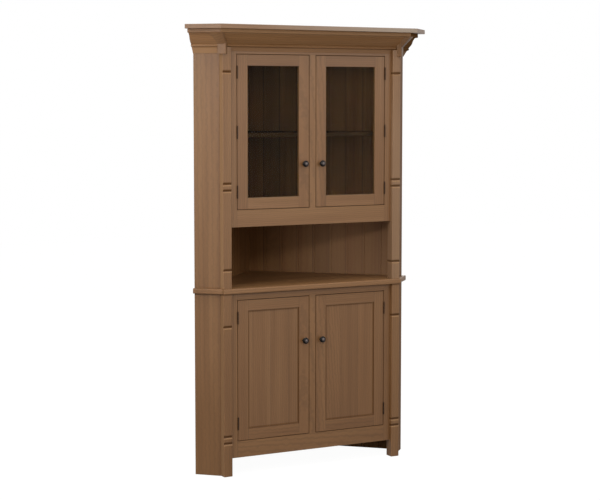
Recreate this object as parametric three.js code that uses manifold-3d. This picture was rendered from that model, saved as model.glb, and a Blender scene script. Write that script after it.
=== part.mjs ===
// A corner cupboard in two units: a base with a pair of panelled doors under a counter, and a tall
// upper unit with an open niche, a pair of glazed doors and a cornice under a cap board.
// Millimetres, +Z up. The plan is worked out with the posts' front faces on y = 0 and the middle of
// the front on x = 0. The finished group is moved so that the middle of its footprint is the origin.
import * as THREE from "three";
import { mergeVertices } from "three/addons/utils/BufferGeometryUtils.js";
import Module from "manifold-3d";

const wasm = await Module();
wasm.setup();

// Plan of the body
const bodyWidth = 976; // across the outer faces of the two corner posts
const sideSetback = 35; // from the posts' front to where a side panel's face meets the post
const sideLength = 130; // a side panel's face, from the post to the wall
const sideThickness = 19;
const backThickness = 12;
const postWidth = 44.5;
const postDepth = 46;
const postChamfer = 2;
const frameSetback = 18.4; // the face frame's front, behind the posts' front
const frameThickness = 19;
const frameStileWidth = 36.5;
const mullionWidth = 35;

// Heights, stacked from the floor up
const footHeight = 83; // open under the base's bottom rail
const baseBottomRail = 79.5;
const baseOpening = 678;
const baseTopRail = 32;
const counterThickness = 25.5;
const nicheHeight = 288.5;
const upperBottomRail = 81.5;
const upperOpening = 732;
const upperTopRail = 113.5;
const capThickness = 20.5;

// Boards inside
const boardThickness = 19;
const shelfSetback = 25; // behind the face frame
const baseShelfRise = 328; // the shelf's underside above the base's floor board
const upperShelfRise = 341; // the shelf's underside above the deck

// Counter and cap
const counterFrontOverhang = 6; // in front of the posts
const counterPostOverhang = 3; // beside a post's outer face
const counterSideOverhang = 21.7; // in front of a side panel's face
const counterEdgeRadius = 5;
const edgeSegments = 4;
const capProjection = 112; // from the line of the side panels' faces

// Crown moulding and corner blocks
const crownProjection = 77;
const crownHeight = 111.5;
const friezeHeight = 19; // flat band at the foot of the front crown
const friezeProud = 2; // in front of the face frame
const blockSize = 41.4; // a corner block's square plan
const blockProjection = 32; // a corner block's outer face, in front of the side panel's face
const blockLead = 28.4; // from the crown's mitre to the block's front corner
const blockHeight = 64;
const blockDrop = 4; // how far a corner block hangs below the side crown

// The crown's outline from its foot to its top: share of the projection, share of the height
const crownFootShares = [
  [0, 0],
  [0.026, 0],
  [0.26, 0.251],
];
const crownFaceShares = [
  [0.286, 0.265],
  [0.338, 0.274],
  [0.377, 0.283],
  [0.409, 0.309],
  [0.409, 0.341],
  [0.377, 0.372],
  [0.39, 0.39],
  [0.442, 0.417],
  [0.468, 0.439],
  [0.558, 0.511],
  [0.623, 0.592],
  [0.662, 0.673],
  [0.708, 0.744],
  [0.779, 0.807],
  [0.805, 0.83],
  [0.974, 0.843],
  [1, 0.857],
  [1, 1],
];
const friezeTopShare = 0.26; // of the crown's height: where the front's flat band ends

// Notches cut across the posts' fronts
const notchDepth = 5;
const notchSlopeAbove = 12;
const notchSlopeBelow = 6;
const notchPairSpacing = 32;
const nicheNotchRise = 85; // above the upper post's foot
const upperPairRise = 460;
const topNotchDrop = 118; // below the crown's frieze
const basePairRise = 157;
const baseNotchRise = 714;

// Boarded backs
const plankPitch = 88;
const plankGrooveWidth = 4;
const plankGrooveDepth = 2.5;

// Doors
const doorGap = 2;
const doorThickness = 20;
const doorStileWidth = 55;
const doorTopRail = 52;
const doorBottomRail = 54;
const grooveDepth = 9; // how far a pane or a panel reaches into the door frame
const paneThickness = 4;
const paneInset = 8; // behind the door's front
const panelThickness = 6.4;
const panelInset = 5;

// Knobs
const knobRadius = 16;
const knobProjection = 29;
const knobInset = 27.5; // from the door's edge to the knob's middle
const upperKnobRise = 212; // above the opening's foot
const baseKnobDrop = 217.5; // below the opening's top
const knobShares = [
  [0, 1],
  [0.62, 0.95],
  [0.93, 0.83],
  [1, 0.7],
  [0.92, 0.6],
  [0.5, 0.5],
  [0.31, 0.36],
  [0.34, 0.2],
  [0.53, 0.08],
  [0.53, 0],
  [0, 0],
];
const knobSegments = 24;

// Butt hinges
const hingeHeight = 60;
const hingeInset = 85; // from an opening's end to the middle of the hinge
const leafThickness = 1.6;
const leafWidth = 13;
const leafGap = 0.4; // between the two leaves
const barrelRadius = 3.2;
const barrelStandoff = 0.3; // between the barrel and the face frame's front
const pinRadius = 1.4;
const pinClearance = 0.3;
const knuckleGap = 0.3;
const barrelSegments = 16;

// Door catches behind the mullions
const catchHeight = 22;
const catchDepth = 12;
const catchOverlap = 14; // beyond each edge of the mullion
const catchDrop = 70; // below the opening's top

// Fits
const fitGap = 0.3; // left wherever turned or cut faces meet
const overrun = 5; // how far a cutting tool runs past what it cuts

// Derived plan
const halfWidth = bodyWidth / 2;
const sideReach = sideLength * Math.SQRT1_2;
const wallX = halfWidth + sideReach;
const wallY = sideSetback + sideReach;
const apexY = wallX + wallY;
const sideSum = halfWidth - sideSetback; // |x| - y on a side panel's outer face
const sideInnerSum = sideSum - sideThickness * Math.SQRT2;
const backInnerY = apexY - backThickness * Math.SQRT2; // |x| + y on a back's inner face
const postInnerX = halfWidth - postWidth;
const frameBackY = frameSetback + frameThickness;
const openingInnerX = mullionWidth / 2;
const openingOuterX = postInnerX - frameStileWidth;
const mitreLean = Math.tan(Math.PI / 8);

// Derived heights
const baseOpeningZ = footHeight + baseBottomRail;
const baseOpeningTopZ = baseOpeningZ + baseOpening;
const baseTopZ = baseOpeningTopZ + baseTopRail;
const counterTopZ = baseTopZ + counterThickness;
const upperFrameZ = counterTopZ + nicheHeight;
const upperOpeningZ = upperFrameZ + upperBottomRail;
const upperOpeningTopZ = upperOpeningZ + upperOpening;
const upperTopZ = upperOpeningTopZ + upperTopRail;
const crownZ = upperTopZ - crownHeight;
const friezeTopZ = crownZ + crownHeight * friezeTopShare;
const upperPostTopZ = friezeTopZ - fitGap;

// Colours
const caseColour = 0x8a6c52;
const doorColour = 0x7b5e47;
const insideColour = 0x5c4331;
const glassColour = 0x9aa5a3;
const metalColour = 0x2a2320;

const object = new THREE.Group();

function add(name, solid, color, look = {}) {
  const material = new THREE.MeshStandardMaterial({ color, roughness: 0.45, metalness: 0, ...look });
  const mesh = new THREE.Mesh(geometryOf(solid), material);
  mesh.name = name;
  object.add(mesh);
}

// Geometry and manifold-3d solids
function solidOf(geometry) {
  const bare = geometry.clone();
  bare.deleteAttribute("normal");
  bare.deleteAttribute("uv");
  const merged = mergeVertices(bare);
  const vertProperties = merged.attributes.position.array;
  const triVerts = new Uint32Array(merged.index.array);
  return new wasm.Manifold(new wasm.Mesh({ numProp: 3, vertProperties, triVerts }));
}

function geometryOf(solid) {
  const { vertProperties, triVerts } = solid.getMesh();
  const geometry = new THREE.BufferGeometry();
  geometry.setAttribute("position", new THREE.BufferAttribute(vertProperties, 3));
  geometry.setIndex(new THREE.BufferAttribute(triVerts, 1));
  const flat = geometry.toNonIndexed();
  flat.computeVertexNormals();
  return flat;
}

function joined(solids) {
  return solids.reduce((whole, solid) => whole.add(solid));
}

function cut(solid, cutters) {
  return cutters.reduce((rest, cutter) => rest.subtract(cutter), solid);
}

// A closed body between two places of one outline. The second place lies on the side that an
// anticlockwise outline faces.
function loft(outline, placeFirst, placeSecond) {
  const drawn = outline.map(([u, v]) => new THREE.Vector2(u, v));
  const ring = THREE.ShapeUtils.isClockWise(drawn) ? drawn.reverse() : drawn;
  const n = ring.length;
  const points = [];
  for (const { x, y } of ring) {
    points.push(...placeFirst(x, y));
  }
  for (const { x, y } of ring) {
    points.push(...placeSecond(x, y));
  }
  const index = [];
  for (const [a, b, c] of THREE.ShapeUtils.triangulateShape(ring, [])) {
    index.push(c, b, a);
    index.push(n + a, n + b, n + c);
  }
  for (let i = 0; i < n; i += 1) {
    const j = (i + 1) % n;
    index.push(i, j, n + j);
    index.push(i, n + j, n + i);
  }
  const geometry = new THREE.BufferGeometry();
  geometry.setAttribute("position", new THREE.Float32BufferAttribute(points, 3));
  geometry.setIndex(index);
  return solidOf(geometry);
}

// A plan outline drawn up from one height to another
function upright(outline, z0, z1) {
  return loft(outline, (x, y) => [x, y, z0], (x, y) => [x, y, z1]);
}

function box([x0, y0, z0], [x1, y1, z1]) {
  return upright([[x0, y0], [x1, y0], [x1, y1], [x0, y1]], z0, z1);
}

function mirrored(outline, side) {
  return outline.map(([x, y]) => [side * x, y]);
}

// The whole of a symmetric outline whose right half ends on the middle line
function bothSides(half) {
  const left = mirrored(half, -1).reverse();
  return [...half, ...left.filter(([x]) => x !== 0)];
}

function circle([x, y], radius, segments) {
  const points = [];
  for (let i = 0; i < segments; i += 1) {
    const angle = (i / segments) * 2 * Math.PI;
    points.push([x + radius * Math.cos(angle), y + radius * Math.sin(angle)]);
  }
  return points;
}

// Posts: a chamfered square section with V notches across the front
function postOutline(side, grown = 0) {
  const outer = halfWidth + grown;
  const inner = postInnerX - grown;
  const outline = [
    [inner + postChamfer, -grown],
    [outer - postChamfer, -grown],
    [outer, postChamfer - grown],
    [outer, postDepth + grown],
    [inner, postDepth + grown],
    [inner, postChamfer - grown],
  ];
  return mirrored(outline, side);
}

function notch(side, z) {
  const x0 = Math.min(side * (postInnerX - overrun), side * (halfWidth + overrun));
  const x1 = x0 + postWidth + 2 * overrun;
  const past = 1 + overrun / notchDepth;
  const wedge = [
    [notchDepth, z],
    [-overrun, z + notchSlopeAbove * past],
    [-overrun, z - notchSlopeBelow * past],
  ];
  return loft(wedge, (y, height) => [x0, y, height], (y, height) => [x1, y, height]);
}

function notchPair(z) {
  return [z, z + notchPairSpacing];
}

function post(side, z0, z1, notches) {
  return cut(upright(postOutline(side), z0, z1), notches.map((z) => notch(side, z)));
}

// Side panels run back at 45 degrees and are cut round the post
function sideOutline(side) {
  const step = sideThickness * Math.SQRT1_2;
  const back = postDepth + fitGap;
  const face = halfWidth + fitGap;
  return mirrored(
    [
      [face, face - sideSum],
      [wallX, wallY],
      [wallX - step, wallY + step],
      [sideInnerSum + back, back],
      [face, back],
    ],
    side,
  );
}

// Backs run along the walls and meet in the corner, with a V groove at each board's edge
function backOutline(side) {
  const start = (sideThickness + fitGap) * Math.SQRT1_2;
  const inset = backThickness * Math.SQRT1_2;
  const endX = wallX - start - inset;
  const outline = [
    [0, backInnerY],
    [0, apexY],
    [wallX - start, wallY + start],
    [endX, backInnerY - endX],
  ];
  const count = Math.floor((endX * Math.SQRT2 - plankGrooveWidth) / plankPitch);
  const dip = plankGrooveDepth * Math.SQRT1_2;
  const half = plankGrooveWidth / 2;
  for (let i = count; i > 0; i -= 1) {
    for (const [offset, sunk] of [[half, 0], [0, dip], [-half, 0]]) {
      const x = (i * plankPitch + offset) * Math.SQRT1_2;
      outline.push([x + sunk, backInnerY - x + sunk]);
    }
  }
  return mirrored(outline, side);
}

// Boards inside fit between the sides and the backs. Those that reach the face frame also fit
// between the posts.
function boardOutline(frontY) {
  const sum = sideInnerSum - fitGap * Math.SQRT2;
  const deep = backInnerY - fitGap * Math.SQRT2;
  const behind = [
    [(sum + deep) / 2, (deep - sum) / 2],
    [0, deep],
  ];
  if (frontY > postDepth) {
    return bothSides([[sum + frontY, frontY], ...behind]);
  }
  const betweenPosts = [
    [postInnerX, frontY],
    [postInnerX, postDepth],
  ];
  return bothSides([...betweenPosts, [sum + postDepth, postDepth], ...behind]);
}

function board(frontY, z) {
  return upright(boardOutline(frontY), z, z + boardThickness);
}

// A face frame with two openings either side of a mullion
function faceFrame(z0, openingZ, openingTopZ, z1, hingeHeights) {
  const frame = box([-postInnerX, frameSetback, z0], [postInnerX, frameBackY, z1]);
  const openings = [-1, 1].map((side) => {
    const near = [side * openingInnerX, frameSetback - overrun, openingZ];
    return box(near, [side * openingOuterX, frameBackY + overrun, openingTopZ]);
  });
  const seats = [-1, 1].flatMap((side) => hingeHeights.map((z) => leafSeat(side, z)));
  return cut(frame, [...openings, ...seats]);
}

// The counter's edge is rounded above and below
function counterOutline(inset) {
  const edge = halfWidth + counterPostOverhang - inset;
  const overhang = counterSideOverhang - inset;
  const end = overhang * Math.SQRT1_2;
  return bothSides([
    [edge, inset - counterFrontOverhang],
    [edge, edge - sideSum - overhang * Math.SQRT2],
    [wallX + end, wallY - end],
    [0, apexY],
  ]);
}

function layer(outlineAt, [inset0, z0], [inset1, z1]) {
  const first = outlineAt(inset0);
  const second = outlineAt(inset1);
  const index = new Map(first.map(([x, y], i) => [x + ":" + y, i]));
  const placeSecond = (x, y) => [...second[index.get(x + ":" + y)], z1];
  return loft(first, (x, y) => [x, y, z0], placeSecond);
}

function counter() {
  const steps = [];
  for (let i = 0; i <= edgeSegments; i += 1) {
    const angle = (i / edgeSegments) * (Math.PI / 2);
    const inset = counterEdgeRadius * (1 - Math.sin(angle));
    steps.push([inset, counterEdgeRadius * (1 - Math.cos(angle))]);
  }
  const lower = steps.map(([inset, rise]) => [inset, baseTopZ + rise]);
  const upper = steps.map(([inset, rise]) => [inset, counterTopZ - rise]).reverse();
  const rings = [...lower, ...upper];
  const layers = rings.slice(1).map((ring, i) => layer(counterOutline, rings[i], ring));
  return joined(layers);
}

function capOutline() {
  const end = capProjection * Math.SQRT1_2;
  return bothSides([
    [halfWidth + capProjection * mitreLean, sideSetback - capProjection],
    [wallX + end, wallY - end],
    [0, apexY],
  ]);
}

// A moulding along one straight run of its base line. Its profile is in projection and height.
function mouldingRun(profile, start, end, startLean, endLean) {
  const along = end.clone().sub(start).normalize();
  const outward = new THREE.Vector2(along.y, -along.x);
  const placeAt = (base, lean) => (d, z) => {
    const p = base.clone().addScaledVector(outward, d).addScaledVector(along, d * lean);
    return [p.x, p.y, z];
  };
  return loft(profile, placeAt(end, endLean), placeAt(start, -startLean));
}

function crownProfile(foot, backD) {
  const face = crownFaceShares.map(([d, z]) => [d * crownProjection, crownZ + z * crownHeight]);
  return [...foot, ...face, [backD, upperTopZ]];
}

function crownFront() {
  const frameD = sideSetback - frameSetback + fitGap;
  const friezeD = frameD + friezeProud;
  const foot = [
    [frameD, friezeTopZ - friezeHeight],
    [friezeD, friezeTopZ - friezeHeight],
    [friezeD, friezeTopZ],
  ];
  const left = new THREE.Vector2(-halfWidth, sideSetback);
  const right = new THREE.Vector2(halfWidth, sideSetback);
  const run = mouldingRun(crownProfile(foot, frameD), left, right, mitreLean, mitreLean);
  return cut(run, [-1, 1].flatMap(crownCutters));
}

function crownSide(side) {
  const foot = crownFootShares.map(([d, z]) => [d * crownProjection + fitGap, crownZ + z * crownHeight]);
  const corner = new THREE.Vector2(side * (halfWidth + fitGap), sideSetback + fitGap);
  const wall = new THREE.Vector2(side * wallX, wallY);
  const profile = crownProfile(foot, fitGap);
  const run =
    side > 0
      ? mouldingRun(profile, corner, wall, mitreLean, 0)
      : mouldingRun(profile, wall, corner, 0, mitreLean);
  return cut(run, crownCutters(side));
}

function crownCutters(side) {
  const postCutter = upright(postOutline(side, fitGap), counterTopZ, friezeTopZ);
  return [postCutter, cornerBlock(side, fitGap)];
}

// Corner blocks: square in plan, turned to the side panels, cut round the posts. A grown one
// is the housing that the crown is cut with.
function blockOutline(side, grown) {
  const reach = (blockSize + 2 * grown) * Math.SQRT1_2;
  const x = halfWidth + blockProjection * mitreLean - blockLead * Math.SQRT1_2;
  const frontX = x;
  const frontY = x - sideSum - blockProjection * Math.SQRT2 - grown * Math.SQRT2;
  return mirrored(
    [
      [frontX, frontY],
      [frontX + reach, frontY + reach],
      [frontX, frontY + 2 * reach],
      [frontX - reach, frontY + reach],
    ],
    side,
  );
}

function cornerBlock(side, grown) {
  const z0 = crownZ - blockDrop - grown;
  const z1 = crownZ - blockDrop + blockHeight + grown;
  const block = upright(blockOutline(side, grown), z0, z1);
  const postCutter = upright(postOutline(side, fitGap - grown), z0 - overrun, z1 + overrun);
  const face = sideSum + (fitGap - grown) * Math.SQRT2;
  const behindFace = mirrored(
    [
      [face - blockSize, -blockSize],
      [face + 2 * blockSize, 2 * blockSize],
      [face - blockSize, 2 * blockSize],
    ],
    side,
  );
  return cut(block, [postCutter, upright(behindFace, z0 - overrun, z1 + overrun)]);
}

// Doors: a frame grooved for a pane or a panel
function doorEdges(side) {
  return [side * (openingInnerX + doorGap), side * (openingOuterX - doorGap)];
}

function doorFrame(side, z0, z1, fillInset, fillThickness, hingeHeights) {
  const [innerX, outerX] = doorEdges(side);
  const backY = frameSetback + doorThickness;
  const body = box([innerX, frameSetback, z0], [outerX, backY, z1]);
  const window = windowBox(side, z0, z1, 0, [frameSetback - overrun, backY + overrun]);
  const front = frameSetback + fillInset;
  const groove = windowBox(side, z0, z1, grooveDepth, [front - fitGap, front + fillThickness + fitGap]);
  return cut(body, [window, groove, ...hingeHeights.map((z) => leafSeat(side, z))]);
}

function windowBox(side, z0, z1, grown, [y0, y1]) {
  const [innerX, outerX] = doorEdges(side);
  const reach = doorStileWidth - grown;
  const low = [innerX + side * reach, y0, z0 + doorBottomRail - grown];
  return box(low, [outerX - side * reach, y1, z1 - doorTopRail + grown]);
}

function doorFill(side, z0, z1, fillInset, fillThickness) {
  const front = frameSetback + fillInset;
  return windowBox(side, z0, z1, grooveDepth - fitGap, [front, front + fillThickness]);
}

function knob(side, z) {
  const profile = knobShares.map(([r, h]) => new THREE.Vector2(r * knobRadius, -h * knobProjection));
  const turned = new THREE.LatheGeometry(profile, knobSegments);
  turned.translate(side * (openingInnerX + doorGap + knobInset), frameSetback, z);
  return solidOf(turned);
}

// Butt hinges: both leaves are let into the wood, and the pin stands in front of the gap
function hingePin(side) {
  return [side * (openingOuterX - doorGap / 2), frameSetback - barrelStandoff - barrelRadius];
}

function leafSeat(side, z) {
  const [pinX] = hingePin(side);
  const reach = leafGap / 2 + leafThickness;
  const half = hingeHeight / 2 + fitGap;
  const low = [pinX - reach, frameSetback - overrun, z - half];
  return box(low, [pinX + reach, frameSetback + leafWidth + fitGap, z + half]);
}

function leaf(side, z, towards) {
  const [pinX, pinY] = hingePin(side);
  const near = pinX + towards * (leafGap / 2);
  const far = near + towards * leafThickness;
  const half = hingeHeight / 2;
  return box([near, pinY, z - half], [far, frameSetback + leafWidth, z + half]);
}

function knuckle(side, radius, z0, z1) {
  return upright(circle(hingePin(side), radius, barrelSegments), z0, z1);
}

function knuckleEnds(z, grown) {
  const half = hingeHeight / 2;
  const middle = half / 3;
  return [
    [z - half - grown, z - middle + grown],
    [z + middle - grown, z + half + grown],
  ];
}

function fixedHingeHalf(side, z) {
  const middle = hingeHeight / 6;
  const clear = barrelRadius + knuckleGap;
  const leafLeft = leaf(side, z, side).subtract(knuckle(side, clear, z - middle, z + middle));
  const outer = knuckleEnds(z, 0).map(([z0, z1]) => knuckle(side, barrelRadius, z0, z1));
  const pin = knuckle(side, pinRadius, z - hingeHeight / 2, z + hingeHeight / 2);
  return joined([leafLeft, ...outer, pin]);
}

function movingHingeHalf(side, z) {
  const middle = hingeHeight / 6 - knuckleGap;
  const clear = barrelRadius + knuckleGap;
  const outer = knuckleEnds(z, knuckleGap).map(([z0, z1]) => knuckle(side, clear, z0, z1));
  const leafLeft = cut(leaf(side, z, -side), outer);
  const whole = leafLeft.add(knuckle(side, barrelRadius, z - middle, z + middle));
  const bore = pinRadius + pinClearance;
  return whole.subtract(knuckle(side, bore, z - hingeHeight, z + hingeHeight));
}

// A double catch that both doors close against
function doorCatch(topZ) {
  const z1 = topZ - catchDrop;
  const z0 = z1 - catchHeight;
  const reach = openingInnerX + catchOverlap;
  const faceY = frameSetback + doorThickness + fitGap;
  const bar = box([-reach, faceY, z0], [reach, faceY + catchDepth, z1]);
  const boss = box([-openingInnerX, frameBackY, z0], [openingInnerX, faceY + catchDepth, z1]);
  return bar.add(boss);
}

const sides = [
  ["left", -1],
  ["right", 1],
];
const units = [
  {
    unit: "lower",
    z0: footHeight,
    openingZ: baseOpeningZ,
    openingTopZ: baseOpeningTopZ,
    z1: baseTopZ,
    knobZ: baseOpeningTopZ - baseKnobDrop,
    hinges: [
      ["low", baseOpeningZ + hingeInset],
      ["top", baseOpeningTopZ - hingeInset],
    ],
    fill: ["panel", panelInset, panelThickness, doorColour, {}],
  },
  {
    unit: "upper",
    z0: upperFrameZ,
    openingZ: upperOpeningZ,
    openingTopZ: upperOpeningTopZ,
    z1: upperTopZ,
    knobZ: upperOpeningZ + upperKnobRise,
    hinges: [
      ["low", upperOpeningZ + hingeInset],
      ["mid", (upperOpeningZ + upperOpeningTopZ) / 2],
      ["top", upperOpeningTopZ - hingeInset],
    ],
    fill: ["glass", paneInset, paneThickness, glassColour, { transparent: true, opacity: 0.35 }],
  },
];

for (const [sideName, side] of sides) {
  const baseNotches = [...notchPair(basePairRise), baseNotchRise];
  add("lower_post_" + sideName, post(side, 0, baseTopZ, baseNotches), caseColour);
  const upperNotches = [
    counterTopZ + nicheNotchRise,
    ...notchPair(counterTopZ + upperPairRise),
    friezeTopZ - topNotchDrop,
  ];
  add("upper_post_" + sideName, post(side, counterTopZ, upperPostTopZ, upperNotches), caseColour);
  add("lower_side_" + sideName, upright(sideOutline(side), 0, baseTopZ), caseColour);
  add("upper_side_" + sideName, upright(sideOutline(side), counterTopZ, upperTopZ), caseColour);
  add("lower_back_" + sideName, upright(backOutline(side), 0, baseTopZ), insideColour);
  add("upper_back_" + sideName, upright(backOutline(side), counterTopZ, upperTopZ), insideColour);
  add("crown_" + sideName, crownSide(side), caseColour);
  add("corner_block_" + sideName, cornerBlock(side, 0), caseColour);
}

add("bottom_board", board(frameBackY, baseOpeningZ - boardThickness), insideColour);
add("lower_shelf", board(frameBackY + shelfSetback, baseOpeningZ + baseShelfRise), insideColour);
add("counter_top", counter(), caseColour);
add("upper_deck", board(frameBackY, upperOpeningZ - boardThickness), insideColour);
add("upper_shelf", board(frameBackY + shelfSetback, upperOpeningZ + upperShelfRise), insideColour);
add("crown_front", crownFront(), caseColour);
add("top_cap", upright(capOutline(), upperTopZ, upperTopZ + capThickness), caseColour);

for (const { unit, z0, openingZ, openingTopZ, z1, knobZ, hinges, fill } of units) {
  const hingeHeights = hinges.map(([, z]) => z);
  add(unit + "_face_frame", faceFrame(z0, openingZ, openingTopZ, z1, hingeHeights), caseColour);
  add(unit + "_catch", doorCatch(openingTopZ), metalColour);
  const [fillName, inset, thickness, fillColour, fillLook] = fill;
  const doorZ = openingZ + doorGap;
  const doorTopZ = openingTopZ - doorGap;
  for (const [sideName, side] of sides) {
    const door = unit + "_door_" + sideName;
    add(door + "_frame", doorFrame(side, doorZ, doorTopZ, inset, thickness, hingeHeights), doorColour);
    add(door + "_" + fillName, doorFill(side, doorZ, doorTopZ, inset, thickness), fillColour, fillLook);
    add(door + "_knob", knob(side, knobZ), metalColour, { metalness: 0.6 });
    for (const [place, z] of hinges) {
      add(door + "_hinge_" + place + "_fixed", fixedHingeHalf(side, z), metalColour, { metalness: 0.6 });
      add(door + "_hinge_" + place + "_leaf", movingHingeHalf(side, z), metalColour, { metalness: 0.6 });
    }
  }
}

object.position.y = -(apexY + sideSetback - capProjection) / 2;

export default object;
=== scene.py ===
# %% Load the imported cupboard
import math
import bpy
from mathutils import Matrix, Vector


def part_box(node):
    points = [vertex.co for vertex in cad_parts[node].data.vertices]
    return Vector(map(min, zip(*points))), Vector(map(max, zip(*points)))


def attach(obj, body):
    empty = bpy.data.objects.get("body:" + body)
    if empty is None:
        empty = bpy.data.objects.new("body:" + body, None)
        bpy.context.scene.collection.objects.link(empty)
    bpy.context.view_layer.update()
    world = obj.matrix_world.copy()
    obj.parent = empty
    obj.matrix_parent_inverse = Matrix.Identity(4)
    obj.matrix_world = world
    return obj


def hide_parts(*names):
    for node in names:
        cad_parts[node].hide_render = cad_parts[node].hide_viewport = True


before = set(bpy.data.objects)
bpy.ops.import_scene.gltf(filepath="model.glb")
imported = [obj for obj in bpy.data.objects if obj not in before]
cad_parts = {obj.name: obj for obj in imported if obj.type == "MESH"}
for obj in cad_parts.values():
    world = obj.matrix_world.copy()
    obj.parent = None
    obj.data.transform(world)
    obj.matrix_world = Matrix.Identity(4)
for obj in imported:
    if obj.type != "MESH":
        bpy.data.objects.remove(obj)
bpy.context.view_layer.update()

# %% [markdown]
# The frame is the cupboard as it was drawn: every post, board, door and hinge stands in its real
# place, in metres, with the front facing -Y. Nothing in it may be moved, so this lesson only dresses
# it. We import what we need and let go of the selection that the import left behind, because every
# operator acts on all that is selected.

MM = 0.001
SIDES = {"left": -1, "right": 1}
UNITS = ("lower", "upper")
bpy.ops.object.select_all(action="DESELECT")

# %% [markdown]
# The portrait is taken from the left of the front, at about eye height, with a long lens, which
# keeps the posts nearly parallel. The camera looks a little down, and a small shift of the frame
# does the rest, so that the same lens also suits a view from any other side. The Standard view
# shows colours as they are mixed, with no film curve over them.

# %% Camera
camera_data = bpy.data.cameras.new("portrait_camera")
camera_data.lens = 95.75
camera_data.sensor_width = 36
camera_data.shift_y = -0.0196
camera = bpy.data.objects.new("portrait_camera", camera_data)
bpy.context.scene.collection.objects.link(camera)
camera.location = (-3.7508, -7.0215, 1.7753)
camera.rotation_euler = (math.radians(90 - 4.877), 0, math.radians(-28.70))
bpy.context.scene.camera = camera
bpy.context.scene.view_settings.view_transform = "Standard"
print("camera stands", round(camera.location.length, 2), "m from the middle of the floor")

# %% [markdown]
# Colours are written as a painter would note them, in sRGB hex. Blender mixes light in linear
# values, so one function turns the hex into those. Another adds one node to a material with its
# settings and its links, and a third starts a finish with its shader already joined to the output.

# %% Colours and nodes
def colour(code):
    parts = [int(code[i:i + 2], 16) / 255 for i in (1, 3, 5)]
    linear = [c / 12.92 if c <= 0.04045 else ((c + 0.055) / 1.055) ** 2.4 for c in parts]
    return (*linear, 1)


def add_node(tree, kind, inputs=None, **settings):
    made = tree.nodes.new(kind)
    for key, value in settings.items():
        setattr(made, key, value)
    for key, value in (inputs or {}).items():
        if isinstance(value, bpy.types.NodeSocket):
            tree.links.new(value, made.inputs[key])
        else:
            made.inputs[key].default_value = value
    return made


def start_finish(name, **values):
    material = bpy.data.materials.new(name)
    material.use_nodes = True
    tree = material.node_tree
    tree.nodes.clear()
    shader = add_node(tree, "ShaderNodeBsdfPrincipled", values)
    add_node(tree, "ShaderNodeOutputMaterial", {"Surface": shader.outputs[0]})
    return material, tree, shader


print("a middle brown", [round(c, 3) for c in colour("#86694F")])

# %% [markdown]
# The light is that of a plain studio: a pale room all round, and soft boxes on stands. The room is
# white to the camera, to gloss and through glass, and much dimmer as a source of light, so that the
# backdrop is white without bleaching the wood. A ray that has already bounced off a matt surface
# doesn't count as a look at the room, or the white would light the inside of the cupboard too.

# %% Room light
ROOM_SEEN, ROOM_LIGHT = 1.0, 0.3
world = bpy.data.worlds.new("pale_room")
world.use_nodes = True
bpy.context.scene.world = world
room = world.node_tree
room.nodes.clear()


def looked_at(tree):
    rays = add_node(tree, "ShaderNodeLightPath").outputs
    seen = rays["Is Camera Ray"]
    for kind in ("Is Glossy Ray", "Is Transmission Ray"):
        seen = add_node(tree, "ShaderNodeMath", {0: seen, 1: rays[kind]}, operation="MAXIMUM").outputs[0]
    fresh = {0: rays["Diffuse Depth"], 1: 0.5}
    fresh = add_node(tree, "ShaderNodeMath", fresh, operation="LESS_THAN").outputs[0]
    return add_node(tree, "ShaderNodeMath", {0: seen, 1: fresh}, operation="MULTIPLY").outputs[0]


level = {"Value": looked_at(room), "To Min": ROOM_LIGHT, "To Max": ROOM_SEEN}
level = add_node(room, "ShaderNodeMapRange", level).outputs[0]
glow = add_node(room, "ShaderNodeBackground", {"Color": (1, 1, 1, 1), "Strength": level})
add_node(room, "ShaderNodeOutputWorld", {"Surface": glow.outputs[0]})
print("the room shows at", ROOM_SEEN, "and lights at", ROOM_LIGHT)

# %% [markdown]
# Each soft box is a lit rectangle turned to the cupboard. The high one at the left and the one
# overhead graze the front, so that the left side panel and the posts' outer faces come out lighter
# than the doors, and the posts' outer strips are painted lighter too. The low one fills in the base.
# The small one in front gives the knobs their bright spot, with a painted highlight on their fronts.
# The two at the right stand where the panes don't mirror them to the camera, and the two behind
# light the backs for a view from there. The tints are as slight as between lamps of one kind.

# %% Soft boxes
WHITE, WARM, COOL = (1, 1, 1), (1.0, 0.98, 0.93), (0.96, 1.0, 1.1)


def soft_box(name, place, aim, size, watts, tint):
    lamp = bpy.data.lights.new(name, "AREA")
    lamp.shape = "RECTANGLE"
    lamp.size, lamp.size_y = size
    lamp.energy = watts
    lamp.color = tint
    stand = bpy.data.objects.new(name, lamp)
    bpy.context.scene.collection.objects.link(stand)
    stand.location = place
    stand.rotation_euler = (Vector(aim) - Vector(place)).to_track_quat("-Z", "Y").to_euler()


# place, aim and size in metres, then watts and tint
soft_box("left_soft_box", (-3.5, -1.6, 3.0), (0, 0, 1.4), (2.6, 2.2), 42, WHITE)
soft_box("low_left_soft_box", (-3.4, -2.8, 1.4), (0, 0, 1.1), (1.6, 1.4), 17, WARM)
soft_box("front_soft_box", (-1.5, -3.4, 2.3), (0, 0, 1.2), (0.4, 0.35), 20, WARM)
soft_box("top_soft_box", (-0.6, -1.6, 4.6), (0, 0, 1.2), (2.4, 2.0), 59, COOL)
soft_box("right_soft_box", (1.0, -4.9, 1.5), (0, 0, 1.1), (1.6, 1.6), 19, WARM)
soft_box("high_right_soft_box", (2.3, -3.3, 2.85), (0.3, 0, 1.8), (1.2, 0.8), 15, WHITE)
for side, sign in SIDES.items():
    soft_box(f"back_{side}_soft_box", (2.2 * sign, 4.2, 2.6), (0, 0.3, 1.2), (2.0, 2.0), 38, WHITE)

# %% [markdown]
# The floor is a wide sheet of matt paper, which alone would come out grey under this light. What
# looks straight at it therefore sees four parts of even white to one part of paper, and the paper
# still carries the cupboard's soft shadow. In gloss the white is half as strong, so that the low
# rails don't gleam. The light that bounces off the floor is the paper's own. Its grit is drawn
# 2.5 mm wide.

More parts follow.
